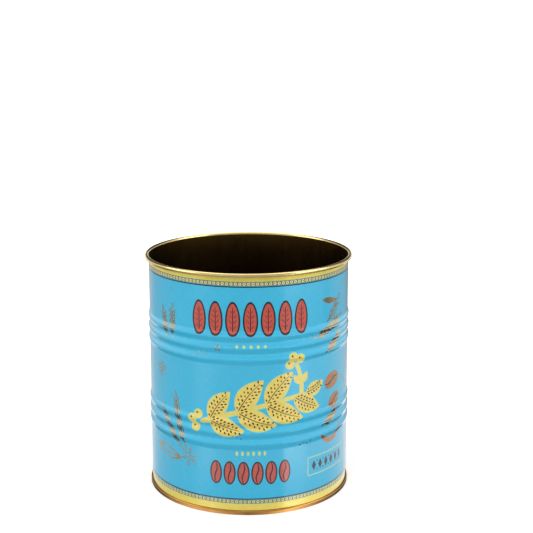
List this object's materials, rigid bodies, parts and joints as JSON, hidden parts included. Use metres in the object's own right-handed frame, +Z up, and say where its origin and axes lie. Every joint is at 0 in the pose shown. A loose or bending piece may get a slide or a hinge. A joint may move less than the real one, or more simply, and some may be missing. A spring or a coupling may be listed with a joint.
{
  "type": "coffee tin",
  "caption": "Open-topped round tinplate storage tin with groups of rolled beads, a curled rim, a printed and lacquered wall, and a pressed base end held by a double seam.",
  "frame": {"origin": "middle of the circle that the tin stands on, at the bottom of the double seam", "axes": "+Z up along the tin's axis to the open mouth, -Y towards the middle of the printed front, the side seam at +X"},
  "size_m": [0.159, 0.159, 0.183],
  "materials": {
    "printed_body": "glossy varnished print on tinplate",
    "lacquered_end": "bronze-gold lacquer on tinplate",
    "inner_lacquer": "bronze-gold lacquer on tinplate",
    "gold_print": "gold varnish over tinplate",
    "red_print": "glossy printed ink",
    "yellow_print": "glossy printed ink",
    "dark_print": "glossy printed ink",
    "line_print": "transparent gold ink over tinplate",
    "seam_compound": "matte",
    "bare_tinplate": "bright tinplate",
    "side_stripe": "satin lacquer"
  },
  "bodies": {
    "root": {"can_body": "printed_body", "base_end": "lacquered_end", "seam_compound": "seam_compound", "side_seam": "bare_tinplate", "inner_side_stripe": "side_stripe"}
  },
  "joints": []
}
